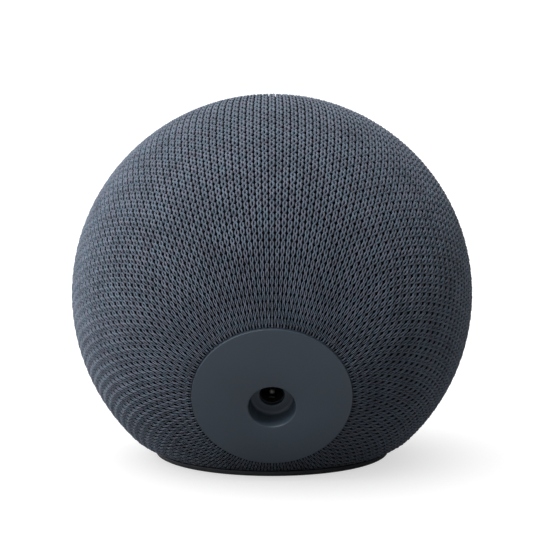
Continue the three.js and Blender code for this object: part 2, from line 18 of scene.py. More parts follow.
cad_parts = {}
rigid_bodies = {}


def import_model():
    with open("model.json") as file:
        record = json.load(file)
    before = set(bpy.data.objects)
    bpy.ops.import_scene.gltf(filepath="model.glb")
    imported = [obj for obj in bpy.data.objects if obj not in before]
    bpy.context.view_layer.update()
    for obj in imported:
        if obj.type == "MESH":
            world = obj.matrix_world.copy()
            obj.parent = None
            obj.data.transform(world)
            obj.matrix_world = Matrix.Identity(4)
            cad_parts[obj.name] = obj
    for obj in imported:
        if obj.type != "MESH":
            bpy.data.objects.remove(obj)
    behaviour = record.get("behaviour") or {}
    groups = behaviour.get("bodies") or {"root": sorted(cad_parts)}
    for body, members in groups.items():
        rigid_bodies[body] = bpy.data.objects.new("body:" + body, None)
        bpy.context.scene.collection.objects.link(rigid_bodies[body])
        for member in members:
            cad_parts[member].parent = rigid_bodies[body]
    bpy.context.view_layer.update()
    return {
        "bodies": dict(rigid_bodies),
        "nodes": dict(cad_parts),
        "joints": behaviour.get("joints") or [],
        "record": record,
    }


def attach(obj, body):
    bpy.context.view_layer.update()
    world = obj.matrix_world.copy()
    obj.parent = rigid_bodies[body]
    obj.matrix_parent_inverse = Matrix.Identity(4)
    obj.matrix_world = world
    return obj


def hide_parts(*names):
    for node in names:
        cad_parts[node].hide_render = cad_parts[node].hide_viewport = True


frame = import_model()

log = logging.getLogger("speaker")

Triple = tuple[float, float, float]
Colour = Triple  # red, green and blue, from 0 to 1
Spot = tuple[float, float]
Socket = bpy.types.NodeSocket

MM = 0.001
BALL_R = 54.35  # outside of the knitted sleeve
BALL_Z = 44.15  # height of the ball's middle over the table
TILT = math.radians(23.4)  # the panel looks up, and the rear cover down, by this angle
SLEEVE_FLOOR = 1.75  # lower edge of the sleeve over the table
REAR_R = 20.74  # rear cover
FRONT_R = 27.0  # outside of the light ring
REAR_PLANE = math.sqrt(BALL_R**2 - REAR_R**2)
FRONT_PLANE = math.sqrt(BALL_R**2 - FRONT_R**2)
GAP = 0.35  # clearance between neighbouring pieces
WOOFER_Y = 2.0  # the woofer's axis is this far behind the ball's middle
MIDDLE = Matrix.Translation((0, 0, BALL_Z * MM))


class Place(Enum):
    """Where a piece's own axes sit. Each value maps millimetres in the piece to metres in the frame."""

    TABLE = Matrix.Scale(MM, 4)
    REAR = MIDDLE @ Matrix.Rotation(-math.pi / 2 - TILT, 4, "X") @ Matrix.Scale(MM, 4)
    FRONT = MIDDLE @ Matrix.Rotation(math.pi / 2 - TILT, 4, "X") @ Matrix.Scale(MM, 4)
    WOOFER = MIDDLE @ Matrix.Translation((0, WOOFER_Y * MM, 0)) @ Matrix.Scale(MM, 4)


class Body(Enum):
    """The CAD bodies that pieces ride on."""

    SPEAKER = "speaker"
    VOLUME_DOWN = "volume_down_key"
    MUTE = "mute_key"
    VOLUME_UP = "volume_up_key"
    DIAPHRAGM = "woofer_diaphragm"


# ---- finishes ------------------------------------------------------------------------------------
class Graph:
    """A material's node tree, with short ways to add and join its nodes."""

    def __init__(self, name: str) -> None:
        """Starts a material that has only its output and its shader.

        Args:
            name: the material's name.
        """
        self.material = bpy.data.materials.new(name)
        self.material.use_nodes = True
        self.tree = self.material.node_tree
        self.shader = self.tree.nodes["Principled BSDF"]

    def add(self, kind: str, settings: dict | None = None, **inputs: object) -> bpy.types.Node:
        """Adds a node.

        Args:
            kind: the node's class name after ShaderNode.
            settings: attributes to set on the node.
            inputs: input sockets by name, with _ for a space. A socket is linked and a value is set.

        Returns:
            The new node.
        """
        node = self.tree.nodes.new("ShaderNode" + kind)
        for key, value in (settings or {}).items():
            setattr(node, key, value)
        for key, value in inputs.items():
            self.feed(node, key.replace("_", " "), value)
        return node

    def feed(self, node: bpy.types.Node, socket: str, value: object) -> None:
        """Links or sets one input.

        Args:
            node: the node that takes the value.
            socket: the input's name, or its number as text.
            value: an output socket, or a plain value.
        """
        target = node.inputs[int(socket)] if socket.isdigit() else node.inputs[socket]
        if isinstance(value, Socket):
            self.tree.links.new(value, target)
        else:
            target.default_value = value

    def math(self, operation: str, a: object, b: object = 0.0) -> Socket:
        """Adds a Math node.

        Args:
            operation: what the node works out.
            a: its first number, or the socket that gives it.
            b: its second.

        Returns:
            The result's socket.
        """
        node = self.add("Math", {"operation": operation})
        self.feed(node, "0", a)
        self.feed(node, "1", b)
        return node.outputs[0]

    def place(self, scale: float | Triple = 1.0, turn: Triple = (0, 0, 0)) -> Socket:
        """Adds Object coordinates through a Mapping node.

        Args:
            scale: how many pattern units there are in a metre.
            turn: the pattern's rotation in radians.

        Returns:
            The mapped coordinates.
        """
        scale = scale if isinstance(scale, tuple) else (scale,) * 3
        where = self.add("TexCoord").outputs["Object"]
        node = self.add("Mapping", Vector=where, Rotation=turn, Scale=scale)
        return node.outputs["Vector"]

    def noise(self, vector: Socket, scale: float, detail: float = 2.0) -> Socket:
        """Adds a Noise Texture and returns its factor."""
        return self.add("TexNoise", Vector=vector, Scale=scale, Detail=detail).outputs[0]

    def ramp(self, factor: Socket, stops: Sequence[tuple[float, Colour]]) -> Socket:
        """Adds a Color Ramp.

        Args:
            factor: what the ramp reads.
            stops: position and colour pairs, in order.

        Returns:
            The ramp's colour.
        """
        node = self.add("ValToRGB", Fac=factor)
        elements = node.color_ramp.elements
        while len(elements) < len(stops):
            elements.new(0.5)
        for element, (position, colour) in zip(elements, stops):
            element.position = position
            element.color = (*colour, 1.0)
        return node.outputs["Color"]

    def spread(self, factor: Socket, low: float, high: float) -> Socket:
        """Adds a Map Range that takes a noise's usual range to another.

        Args:
            factor: the noise.
            low: what it becomes where the noise is low.
            high: what it becomes where the noise is high.

        Returns:
            The value's socket.
        """
        node = self.add("MapRange", Value=factor, From_Min=0.3, From_Max=0.7, To_Min=low, To_Max=high)
        return node.outputs[0]

    def bump(
        self, height: Socket, depth: float, strength: float = 1.0, below: Socket | None = None
    ) -> Socket:
        """Adds a Bump node.

        Args:
            height: the height, from 0 to 1.
            depth: what a height of 1 means, in millimetres.
            strength: how much of the bump is used.
            below: the normal of a coarser bump to build on.

        Returns:
            The bumped normal.
        """
        node = self.add("Bump", Height=height, Strength=strength, Distance=depth * MM)
        if below is not None:
            self.feed(node, "Normal", below)
        return node.outputs["Normal"]

    def mix(self, first: object, second: object, share: object, blend: str = "MIX") -> Socket:
        """Adds a Mix node for colours.

        Args:
            first: the first colour.
            second: the second colour.
            share: how much of the second is used.
            blend: how the two are blended.

        Returns:
            The blended colour.
        """
        node = self.add("Mix", {"data_type": "RGBA", "blend_type": blend}, Factor=share)
        self.feed(node, "6", first)
        self.feed(node, "7", second)
        return node.outputs[2]

    def shade(self, **inputs: object) -> None:
        """Feeds the shader's inputs, named with _ for a space."""
        for key, value in inputs.items():
            self.feed(self.shader, key.replace("_", " "), value)


def scaled(colour: Colour, amount: float) -> Colour:
    """Returns a colour made darker or lighter by a factor."""
    return tuple(min(1.0, channel * amount) for channel in colour)


@dataclass(frozen=True)
class Finish:
    """A surface finish. Each kind builds its own node material, once."""

    name: str
    colour: Colour
    roughness: float = 0.5
    slot: str = ""

    def material(self) -> bpy.types.Material:
        """Returns the finish's material, building it the first time."""
        return bpy.data.materials.get(self.name) or self.build(Graph(self.name)).material

    def build(self, graph: Graph) -> Graph:
        """Fills in the material's nodes, and returns them; each kind of finish has its own."""
        raise NotImplementedError


@dataclass(frozen=True)
class Yarn(Finish):
    """Melange polyester yarn: twisted plies with painted shade in the grooves between them, and lighter and
    darker stretches all over the sleeve.
    """

    dark: Colour = (0.0, 0.0, 0.0)
    plies: float = 2.0
    twist: float = 0.9

    def build(self, graph: Graph) -> Graph:
        """Fills in the material's nodes.

        Args:
            graph: the new material's nodes.

        Returns:
            The same graph.
        """
        uv = graph.add("SeparateXYZ", Vector=graph.add("UVMap", {"uv_map": "yarn"}).outputs[0])
        lay = graph.math("MULTIPLY", uv.outputs["X"], self.plies)
        turns = graph.math("ADD", lay, graph.math("MULTIPLY", uv.outputs["Y"], self.twist))
        ply = graph.math("ABSOLUTE", graph.math("SINE", graph.math("MULTIPLY", turns, math.pi)))
        where = graph.place(1000)
        patches = graph.noise(where, 0.16, 3.0)
        flecks = graph.noise(where, 2.4, 2.0)
        blend = graph.math("ADD", graph.math("MULTIPLY", patches, 0.35), graph.math("MULTIPLY", flecks, 0.65))
        tone = graph.ramp(blend, [(0.34, self.dark), (0.5, self.colour), (0.68, scaled(self.colour, 1.35))])
        # painted shade: the colour drops to 0.55 in the grooves between the plies
        groove = graph.ramp(ply, [(0.0, (0.55,) * 3), (0.6, (1.0,) * 3)])
        colour = graph.mix(tone, groove, 0.8, "MULTIPLY")
        green, plain, red = (0.92, 1.02, 1.03), (1.0, 1.0, 1.0), (1.08, 0.985, 1.0)
        cast = graph.ramp(graph.noise(where, 0.42, 2.0), [(0.36, green), (0.5, plain), (0.64, red)])
        fibres = graph.noise(where, 14.0, 2.0)
        normal = graph.bump(fibres, 0.02, 0.6, graph.bump(ply, 0.05, 0.8))
        colour = graph.mix(colour, cast, 1.0, "MULTIPLY")
        graph.shade(Base_Color=colour, Roughness=self.roughness, Normal=normal)
        graph.shade(Sheen_Weight=0.08, Sheen_Roughness=0.5, Specular_IOR_Level=0.12)
        return graph


@dataclass(frozen=True)
class Plastic(Finish):
    """Moulded plastic with a fine spark-eroded grain and faint flow marks."""

    grain: float = 0.012
    grain_scale: float = 9.0
    gloss: float = 0.3

    def build(self, graph: Graph) -> Graph:
        """Fills in the material's nodes.

        Args:
            graph: the new material's nodes.

        Returns:
            The same graph.
        """
        where = graph.place(1000)
        flow = graph.noise(where, 0.05, 2.0)
        specks = graph.noise(where, self.grain_scale * 1.7, 1.0)
        tone = graph.ramp(flow, [(0.3, scaled(self.colour, 0.93)), (0.7, scaled(self.colour, 1.07))])
        fleck = graph.ramp(specks, [(0.25, (0.9,) * 3), (0.75, (1.08,) * 3)])
        rough = graph.spread(flow, self.roughness - 0.06, self.roughness + 0.06)
        grain = graph.noise(where, self.grain_scale, 3.0)
        graph.shade(Base_Color=graph.mix(tone, fleck, 1.0, "MULTIPLY"), Roughness=rough)
        graph.shade(Normal=graph.bump(grain, self.grain), Specular_IOR_Level=self.gloss)
        return graph


@dataclass(frozen=True)
class Metal(Finish):
    """Stamped or turned metal with fine tool marks and a little tarnish."""

    stretch: Triple = (1.0, 1.0, 12.0)

    def build(self, graph: Graph) -> Graph:
        """Fills in the material's nodes.

        Args:
            graph: the new material's nodes.

        Returns:
            The same graph.
        """
        marks = graph.noise(graph.place(tuple(1000 * s for s in self.stretch)), 0.8, 4.0)
        tarnish = graph.noise(graph.place(1000), 0.3, 3.0)
        tone = graph.ramp(tarnish, [(0.35, scaled(self.colour, 0.72)), (0.6, self.colour)])
        rough = graph.spread(marks, self.roughness - 0.08, self.roughness + 0.12)
        graph.shade(Base_Color=tone, Roughness=rough, Metallic=1.0, Normal=graph.bump(marks, 0.01))
        return graph


@dataclass(frozen=True)
class Board(Finish):
    """A circuit board: solder mask over copper tracks, with pale pads."""

    pad: Colour = (0.62, 0.6, 0.55)

    def build(self, graph: Graph) -> Graph:
        """Fills in the material's nodes.

        Args:
            graph: the new material's nodes.

        Returns:
            The same graph.
        """
        where = graph.place(1000)
        cells = graph.add("TexVoronoi", {"feature": "DISTANCE_TO_EDGE"}, Vector=where, Scale=0.55).outputs[0]
        tracks = graph.ramp(cells, [(0.05, scaled(self.colour, 1.7)), (0.09, self.colour)])
        dots = graph.add("TexVoronoi", {"feature": "F1"}, Vector=where, Scale=0.9).outputs[0]
        pads = graph.ramp(dots, [(0.1, (1.0,) * 3), (0.14, (0.0,) * 3)])
        colour = graph.mix(tracks, (*self.pad, 1.0), pads)
        graph.shade(Base_Color=colour, Roughness=self.roughness, Normal=graph.bump(tracks, 0.03))
        return graph


@dataclass(frozen=True)
class Fibrous(Finish):
    """Pressed paper pulp, felt or cloth, with a fibre pattern."""

    fibre: float = 3.0
    depth: float = 0.05

    def build(self, graph: Graph) -> Graph:
        """Fills in the material's nodes.

        Args:
            graph: the new material's nodes.

        Returns:
            The same graph.
        """
        long_way = graph.noise(graph.place((1000, 4000, 1000)), self.fibre, 4.0)
        cross = graph.noise(graph.place((4000, 1000, 4000)), self.fibre, 4.0)
        both = graph.math("MULTIPLY", graph.math("ADD", long_way, cross), 0.5)
        tone = graph.ramp(both, [(0.35, scaled(self.colour, 0.7)), (0.65, scaled(self.colour, 1.3))])
        graph.shade(Base_Color=tone, Roughness=self.roughness, Normal=graph.bump(both, self.depth))
        graph.shade(Specular_IOR_Level=0.1)
        return graph


@dataclass(frozen=True)
class Rubber(Finish):
    """Soft moulded rubber or foam: dusty, with a fine cell pattern."""

    cell: float = 2.5
    depth: float = 0.04

    def build(self, graph: Graph) -> Graph:
        """Fills in the material's nodes.

        Args:
            graph: the new material's nodes.

        Returns:
            The same graph.
        """
        where = graph.place(1000)
        cells = graph.add("TexVoronoi", Vector=where, Scale=self.cell).outputs[0]
        dust = graph.noise(where, 0.12, 5.0)
        tone = graph.ramp(dust, [(0.4, self.colour), (0.7, scaled(self.colour, 1.6))])
        graph.shade(Base_Color=tone, Roughness=self.roughness, Normal=graph.bump(cells, self.depth, 0.5))
        return graph


@dataclass(frozen=True)
class Winding(Finish):
    """Fine wire or foil laid in even turns, one beside another along an axis, with painted shade in the
    grooves between the turns.
    """

    pitch: float = 0.25
    turn: Triple = (0.0, 0.0, 0.0)
    metallic: float = 1.0

    def build(self, graph: Graph) -> Graph:
        """Fills in the material's nodes.

        Args:
            graph: the new material's nodes.

        Returns:
            The same graph.
        """
        height = graph.add("SeparateXYZ", Vector=graph.place(1000 / self.pitch, self.turn)).outputs["Z"]
        wave = graph.math("ABSOLUTE", graph.math("SINE", graph.math("MULTIPLY", height, math.pi)))
        # painted shade: the colour drops to about a third of itself in the grooves between the turns
        tone = graph.ramp(wave, [(0.0, scaled(self.colour, 0.35)), (0.6, self.colour)])
        graph.shade(Base_Color=tone, Roughness=self.roughness, Metallic=self.metallic)
        graph.shade(Normal=graph.bump(wave, 0.08))
        return graph


@dataclass(frozen=True)
class Milky(Finish):
    """Translucent diffuser plastic that scatters what light gets into it."""

    def build(self, graph: Graph) -> Graph:
        """Fills in the material's nodes.

        Args:
            graph: the new material's nodes.

        Returns:
            The same graph.
        """
        haze = graph.noise(graph.place(1000), 0.4, 3.0)
        tone = graph.ramp(haze, [(0.3, scaled(self.colour, 0.94)), (0.7, self.colour)])
        grain = graph.noise(graph.place(1000), 12.0, 2.0)
        graph.shade(Base_Color=tone, Roughness=self.roughness, Normal=graph.bump(grain, 0.005))
        graph.shade(Subsurface_Weight=0.4, Subsurface_Scale=0.002, Coat_Weight=0.15, Coat_Roughness=0.25)
        return graph


@dataclass(frozen=True)
class Finishes:
    """Every finish on the speaker."""

    yarn = Yarn("knit yarn", (0.115, 0.140, 0.183), 0.85, "knit", dark=(0.062, 0.076, 0.102))
    # near-black sheet under the knit: the dark shell behind it, darkened further to paint the shade in the
    # holes between stitches
    hole_shade = Fibrous("knit backing with painted shade", (0.0020, 0.0028, 0.0050), 0.95, "knit", fibre=2.0)
    cover = Plastic("graphite plastic", (0.030, 0.043, 0.059), 0.45, "graphite_plastic", gloss=0.4)
    keys = Plastic("key plastic", (0.025, 0.033, 0.043), 0.48, "graphite_plastic", grain=0.008)
    print_ink = Plastic("key print", (0.42, 0.44, 0.47), 0.6, "graphite_plastic", grain=0.004)
    band = Plastic("base plastic", (0.034, 0.037, 0.043), 0.5, "black_plastic", grain=0.015)
    black = Plastic("black plastic", (0.010, 0.010, 0.012), 0.45, "black_plastic", grain=0.01)
    shell = Plastic("shell plastic", (0.017, 0.018, 0.021), 0.6, "shell_plastic", grain=0.03, grain_scale=4.0)
    foot = Rubber("foot rubber", (0.012, 0.012, 0.013), 0.9, "rubber")
    surround = Rubber("surround rubber", (0.009, 0.009, 0.010), 0.7, "rubber", depth=0.015)
    foam = Rubber("gasket foam", (0.022, 0.022, 0.024), 0.95, "foam", cell=4.0, depth=0.12)
    pad = Rubber("thermal pad", (0.26, 0.31, 0.38), 0.8, "thermal_pad", cell=1.5)
    diffuser = Milky("light ring diffuser", (0.42, 0.45, 0.49), 0.38, "diffuser")
    steel = Metal("plated steel", (0.50, 0.51, 0.53), 0.32, "steel")
    nickel = Metal("bright nickel", (0.66, 0.62, 0.55), 0.2, "nickel")
    # the nickel darkened to about a sixth and made rougher: painted shade for the pin and the spring deep in
    # the plug recess
    pin = Metal("nickel darkened for shade", (0.1, 0.098, 0.092), 0.45, "nickel")
    aluminium = Metal("extruded aluminium", (0.62, 0.63, 0.65), 0.4, "aluminium", stretch=(1.0, 0.05, 1.0))
    ferrite = Fibrous("ferrite", (0.035, 0.034, 0.035), 0.75, "ferrite", fibre=1.5)
    board = Board("circuit board", (0.008, 0.075, 0.040), 0.35, "circuit_board")
    paper = Fibrous("cone paper", (0.016, 0.016, 0.018), 0.9, "cone_paper", depth=0.08)
    spider = Fibrous("spider cloth", (0.42, 0.27, 0.10), 0.85, "spider_cloth", fibre=5.0)
    copper = Winding("coil wire", (0.85, 0.38, 0.18), 0.3, "copper", pitch=0.22)
    film = Winding("polyimide film", (0.36, 0.13, 0.02), 0.35, "flex_film", pitch=1.1, metallic=0.0)


# ---- shaping -------------------------------------------------------------------------------------
@dataclass(frozen=True)
class Ring:
    """One circle of a lofted form."""

    radius: float
    height: float
    rounding: float = 0.0  # how far its edge is rounded
    shift: float = 0.0  # how far its middle is shifted along Y


class Workpiece:
    """A mesh in millimetres that operators shape, and that is then set in its place as one object."""

    def __init__(self) -> None:
        """Starts an empty mesh."""
        self.bm = bmesh.new()

    def loft(self, rings: Sequence[Ring], facets: int = 96, centre: Spot = (0, 0)) -> "Workpiece":
        """Adds a hollow form that runs from circle to circle, and from the last one back to the first.

        Args:
            rings: the circles, in order. If the last is the first again, the form is left open there.
            facets: how many sides each circle has.
            centre: where the form's axis is.

        Returns:
            This workpiece.
        """
        closed = rings[0] != rings[-1]
        first = rings[0]
        made = bmesh.ops.create_circle(self.bm, segments=facets, radius=first.radius, cap_ends=False)
        verts = made["verts"]
        self._settle(verts, first, centre)
        edges = list({edge for vert in verts for edge in vert.link_edges})
        loops = [edges]
        for before, ring in zip(rings, rings[1:]):
            if ring == first:
                break
            made = bmesh.ops.extrude_edge_only(self.bm, edges=loops[-1])["geom"]
            verts = [item for item in made if isinstance(item, bmesh.types.BMVert)]
            back = Matrix.Translation((-centre[0], -centre[1] - before.shift, -before.height))
            bmesh.ops.transform(self.bm, matrix=back, verts=verts)
            bmesh.ops.scale(self.bm, vec=(ring.radius / before.radius,) * 2 + (1.0,), verts=verts)
            self._settle(verts, ring, centre)
            inside = set(verts)
            new_edges = [item for item in made if isinstance(item, bmesh.types.BMEdge)]
            loops.append([edge for edge in new_edges if inside.issuperset(edge.verts)])
        if closed:
            bmesh.ops.bridge_loops(self.bm, edges=loops[0] + loops[-1])
        bmesh.ops.recalc_face_normals(self.bm, faces=self.bm.faces)
        for ring, loop in zip(rings, loops):
            if ring.rounding:
                self.round_edges(loop, ring.rounding)
        return self

    def _settle(self, verts: list, ring: Ring, centre: Spot) -> None:
        """Moves a circle from the origin to its ring's place."""
        bmesh.ops.translate(self.bm, vec=(centre[0], centre[1] + ring.shift, ring.height), verts=verts)

    def disc(self, rings: Sequence[Ring], facets: int = 96, centre: Spot = (0, 0)) -> "Workpiece":
        """Adds a form that runs from circle to circle and is capped flat at both ends.

        Args:
            rings: the circles, from one end to the other.
            facets: how many sides each circle has.
            centre: where the form's axis is.

        Returns:
            This workpiece.
        """
        self.loft([*rings, rings[0]], facets, centre)
        open_edges = [edge for edge in self.bm.edges if edge.is_boundary]
        bmesh.ops.holes_fill(self.bm, edges=open_edges, sides=0)
        bmesh.ops.recalc_face_normals(self.bm, faces=self.bm.faces)
        return self

    def round_edges(self, edges: list, width: float, segments: int = 4) -> None:
        """Rounds edges off.

        Args:
            edges: the edges to round.
            width: how far the rounding reaches from each edge.
            segments: how many strips it has.
        """
        bmesh.ops.bevel(
            self.bm, geom=edges, offset=width, offset_type="OFFSET", segments=segments, profile=0.5,
            affect="EDGES", material=-1, clamp_overlap=True,
        )

    def bar(self, size: Triple, at: Triple, rounding: float = 0.0) -> "Workpiece":
        """Adds a block.

        Args:
            size: its size along X, Y and Z.
            at: its middle.
            rounding: how far its upright edges are rounded.

        Returns:
            This workpiece.
        """
        verts = bmesh.ops.create_cube(self.bm, size=1.0)["verts"]
        bmesh.ops.scale(self.bm, vec=size, verts=verts)
        bmesh.ops.translate(self.bm, vec=at, verts=verts)
        if rounding:
            edges = {edge for vert in verts for edge in vert.link_edges}
            upright = [e for e in edges if abs(e.verts[0].co.z - e.verts[1].co.z) > size[2] / 2]
            self.round_edges(upright, rounding)
        return self

    def carve(self, tools: Iterable["Workpiece"]) -> "Workpiece":
        """Cuts other workpieces out of this one.

        Args:
            tools: what is cut away.

        Returns:
            This workpiece.
        """
        for tool in tools:
            part, cutter = self._loose("part"), tool._loose("cutter")
            cut = part.modifiers.new("cut", "BOOLEAN")
            cut.operation, cut.object, cut.solver = "DIFFERENCE", cutter, "EXACT"
            result = part.evaluated_get(bpy.context.evaluated_depsgraph_get()).to_mesh()
            self.bm = bmesh.new()
            self.bm.from_mesh(result)
            for item in (part, cutter):
                mesh = item.data
                bpy.data.objects.remove(item)
                bpy.data.meshes.remove(mesh)
        return self

    def _loose(self, name: str) -> bpy.types.Object:
        """Turns the mesh into a plain object for a modifier to use.

        Args:
            name: the object's name.

        Returns:
            The object.
        """
        mesh = bpy.data.meshes.new(name)
        self.bm.to_mesh(mesh)
        self.bm.free()
        item = bpy.data.objects.new(name, mesh)
        bpy.context.scene.collection.objects.link(item)
        bpy.context.view_layer.update()
        return item

    def finish(
        self, name: str, place: Matrix, finish: Finish, body: Body = Body.SPEAKER,
        replaces: Sequence[str] = (), sharp: float = 35.0,
    ) -> bpy.types.Object:
        """Sets the mesh in its place as an object that rides on a body.

        Args:
            name: the piece's name.
            place: maps the piece's millimetres to metres in the frame.
            finish: what it is finished in.
            body: the CAD body it rides on.
            replaces: the CAD nodes it stands for.
            sharp: edges that turn by more than this many degrees stay crisp.

        Returns:
            The new object.
        """
        limit = math.radians(sharp)
        for face in self.bm.faces:
            face.smooth = True
        for edge in self.bm.edges:
            edge.smooth = len(edge.link_faces) == 2 and edge.calc_face_angle(0.0) < limit
        self.bm.transform(place)
        mesh = bpy.data.meshes.new(name)
        self.bm.to_mesh(mesh)
        self.bm.free()
        mesh.materials.append(finish.material())
        item = bpy.data.objects.new(name, mesh)
        bpy.context.scene.collection.objects.link(item)
        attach(item, body.value)
        if replaces:
            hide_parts(*replaces)
        log.info("%s: %d faces", name, len(mesh.polygons))
        return item


# ---- knitted sleeve ------------------------------------------------------------------------------
@dataclass
class KnitSleeve:
    """The knitted sleeve: columns of interlocked loops run from the rear cover round to the light ring.

    Angles are from the rear cover's axis. A column's two legs cross once in each stitch and bow out in
    between, and each column sits half a stitch along from its neighbours.
    """

    columns: int = 172
    sectors: int = 10
    stitch: float = 3.35  # length of a stitch at the sleeve's widest place
    stretch: float = 1.0  # how much longer a stitch gets towards the covers
    samples: int = 12  # steps along one stitch
    sides: int = 5
    yarn: float = 0.182  # the yarn's radius, as a share of the distance between columns
    taper: float = 0.45  # how much thinner than that the yarn gets towards the covers
    bow: float = 0.312  # how far each leg bows out, as a share of that distance
    slim: float = 0.28  # how much narrower than that the loops get towards the covers
    waist: float = 0.75  # how much thinner the yarn gets there where the legs cross
    pinch: float = 0.62  # how much of the bow is drawn in again halfway between crossings
    pinch_width: float = 0.11  # how long that narrow place is, in stitches
    part: float = 2.3  # how quickly the legs part after a crossing
    over: float = 0.07  # how far one leg rides over the other where they cross
    crown: float = 0.45  # how far the loops stand up over the crossings
    lean: float = 0.08  # how much higher the first half of a loop lies than its second
    sink: float = 0.06  # how far the yarn sits under the ball's surface
    dip: float = 0.5  # how far the yarn dips at the covers
    # a near-black sheet under the stitches paints the shade in the knit's holes; how far under the surface it
    # lies, and its thickness
    shade_backing_depth: float = 0.95
    shade_backing: float = 0.2  # the shade backing's thickness
    wander: float = 0.09  # how far a stretch of the knit strays from its even place
    jitter: float = 0.05  # how far single stitches stray
    seed: int = 5  # settles where they stray to, the same in every run
    edge: float = 0.2  # clearance to the rear cover
    tuck: float = 0.058  # how far the sleeve draws in at its lower edge, as a share of its radius there
    tuck_height: float = 3.5  # how far over that edge it starts to

    @property
    def first(self) -> float:
        """Where the sleeve starts, at the rear cover."""
        return math.asin((REAR_R + self.edge) / BALL_R)

    @property
    def last(self) -> float:
        """Where the sleeve ends, at the light ring."""
        return math.pi - math.asin((FRONT_R + GAP) / BALL_R)

    def build(self) -> None:
        """Builds the stitches, and the near-black backing that paints the shade in the holes between them."""
        noise.seed_set(self.seed)
        strips = [self.stitches(i) for i in range(self.sectors)]
        shade_backing = self.build_shade_backing()

    def build_shade_backing(self) -> bpy.types.Object:
        """Builds the near-black sheet seen between the stitches. It stands in for the dark shell behind the
        knit, and is darkened further to paint the shade in the knit's holes.

        Returns:
            The sheet.
        """
        steps = 56
        angles = [self.first + (self.last - self.first) * i / steps for i in range(steps + 1)]
        outer = BALL_R - self.shade_backing_depth
        skins = [(outer, angles), (outer - self.shade_backing, reversed(angles))]
        rings = [Ring(r * math.sin(a), r * math.cos(a)) for r, way in skins for a in way]
        piece = Workpiece().loft(rings, 128)
        self.trim(piece.bm, bridge=True)
        return piece.finish(
            "knit_backing_painted_shade", Place.REAR.value, Finishes.hole_shade, replaces=["fabric_cover"], sharp=60
        )

    def trim(self, bm: bmesh.types.BMesh, bridge: bool) -> None:
        """Cuts the sleeve off level over the base, and draws its lower edge in.

        Args:
            bm: what to cut, in the rear cover's axes.
            bridge: whether the cut leaves two long loops to join, and not many small ones to fill.
        """
        turn = Place.REAR.value.to_3x3().inverted() * MM
        down = (turn @ Vector((0, 0, -1))).normalized()
        level = down * (BALL_Z - SLEEVE_FLOOR)
        everything = [*bm.verts, *bm.edges, *bm.faces]
        cut = bmesh.ops.bisect_plane(
            bm, geom=everything, dist=1e-5, plane_co=level, plane_no=down, clear_outer=True
        )["geom_cut"]
        edges = [item for item in cut if isinstance(item, bmesh.types.BMEdge) and item.is_boundary]
        if edges and bridge:
            bmesh.ops.bridge_loops(bm, edges=edges)
        elif edges:
            bmesh.ops.holes_fill(bm, edges=edges, sides=0)
        for vert in bm.verts:
            over = vert.co.dot(-down) + BALL_Z - SLEEVE_FLOOR
            if over < self.tuck_height:
                axis = down * vert.co.dot(down)
                vert.co = axis + (vert.co - axis) * (1 - self.tuck * (1 - over / self.tuck_height) ** 2)

    def path(self, offset: float) -> list[tuple[float, float]]:
        """Works out where a column's samples lie.

        Args:
            offset: how far along its first stitch the column starts, from 0 to 1.

        Returns:
            The angle and the stitch count at each sample.
        """
        angle, count, points = self.first, offset, []
        while angle < self.last:
            points.append((angle, count))
            angle += (self.stitch + self.stretch * math.cos(angle) ** 2) / BALL_R / self.samples
            count += 1 / self.samples
        return points

    def depth(self, angle: float) -> float:
        """Returns how far the yarn's middle lies under the ball's surface; it dips at the two covers."""
        from_edge = min(angle - self.first, self.last - angle) * BALL_R
        return self.radius(math.pi / 2) + self.dip * max(0.0, 1 - from_edge / 0.7) ** 2

    def leg(self, bm: bmesh.types.BMesh, offset: float, side: int, turn: float) -> None:
        """Adds one leg of a column.

        Args:
            bm: what it is added to.
            offset: the column's stagger, in stitches.
            side: 1 or -1 for the leg that starts on the left or on the right.
            turn: the column's angle about the axis.
        """
        centres = []
        for angle, count in self.path(offset):
            share = count % 1.0
            swing = math.sin(math.pi * count)
            halfway = math.exp(-(((share - 0.5) / self.pinch_width) ** 2))
            bow = math.tanh(self.part * swing) * (1 - self.pinch * halfway)
            near = 1 - math.sin(angle)  # grows towards the covers
            across = side * bow * self.bow * (1 - self.slim * near) * self.pitch(angle)
            lift = side * self.over * math.cos(math.pi * count) - self.sink
            lift += self.crown * (abs(swing) ** 0.6 - 1) + self.lean * math.sin(2 * math.pi * share)
            thin = 1 - self.waist * near * (1 - abs(swing)) ** 2
            centres.append((self.point(angle, turn, across, lift), self.radius(angle) * thin))
        self.strand(bm, centres)

    def pitch(self, angle: float) -> float:
        """Returns the distance between columns at an angle."""
        return 2 * math.pi * BALL_R * math.sin(angle) / self.columns

    def radius(self, angle: float) -> float:
        """Returns the yarn's radius at an angle, where it is squeezed together towards the covers."""
        return self.yarn * self.pitch(angle) * (1 - self.taper + self.taper * math.sin(angle))

    def point(self, angle: float, turn: float, across: float, lift: float) -> Vector:
        """Works out a point by the sleeve's surface.

        Args:
            angle: the angle from the rear cover's axis.
            turn: the angle about that axis.
            across: how far to the side of the column, in millimetres.
            lift: how far out from the yarn's usual level.

        Returns:
            The point, in the rear cover's axes.
        """
        r = BALL_R - self.depth(angle) + lift * math.sin(angle) ** 0.5
        turn += across / (BALL_R * math.sin(angle))
        out = r * math.sin(angle)
        return Vector((out * math.sin(turn), out * math.cos(turn), r * math.cos(angle)))

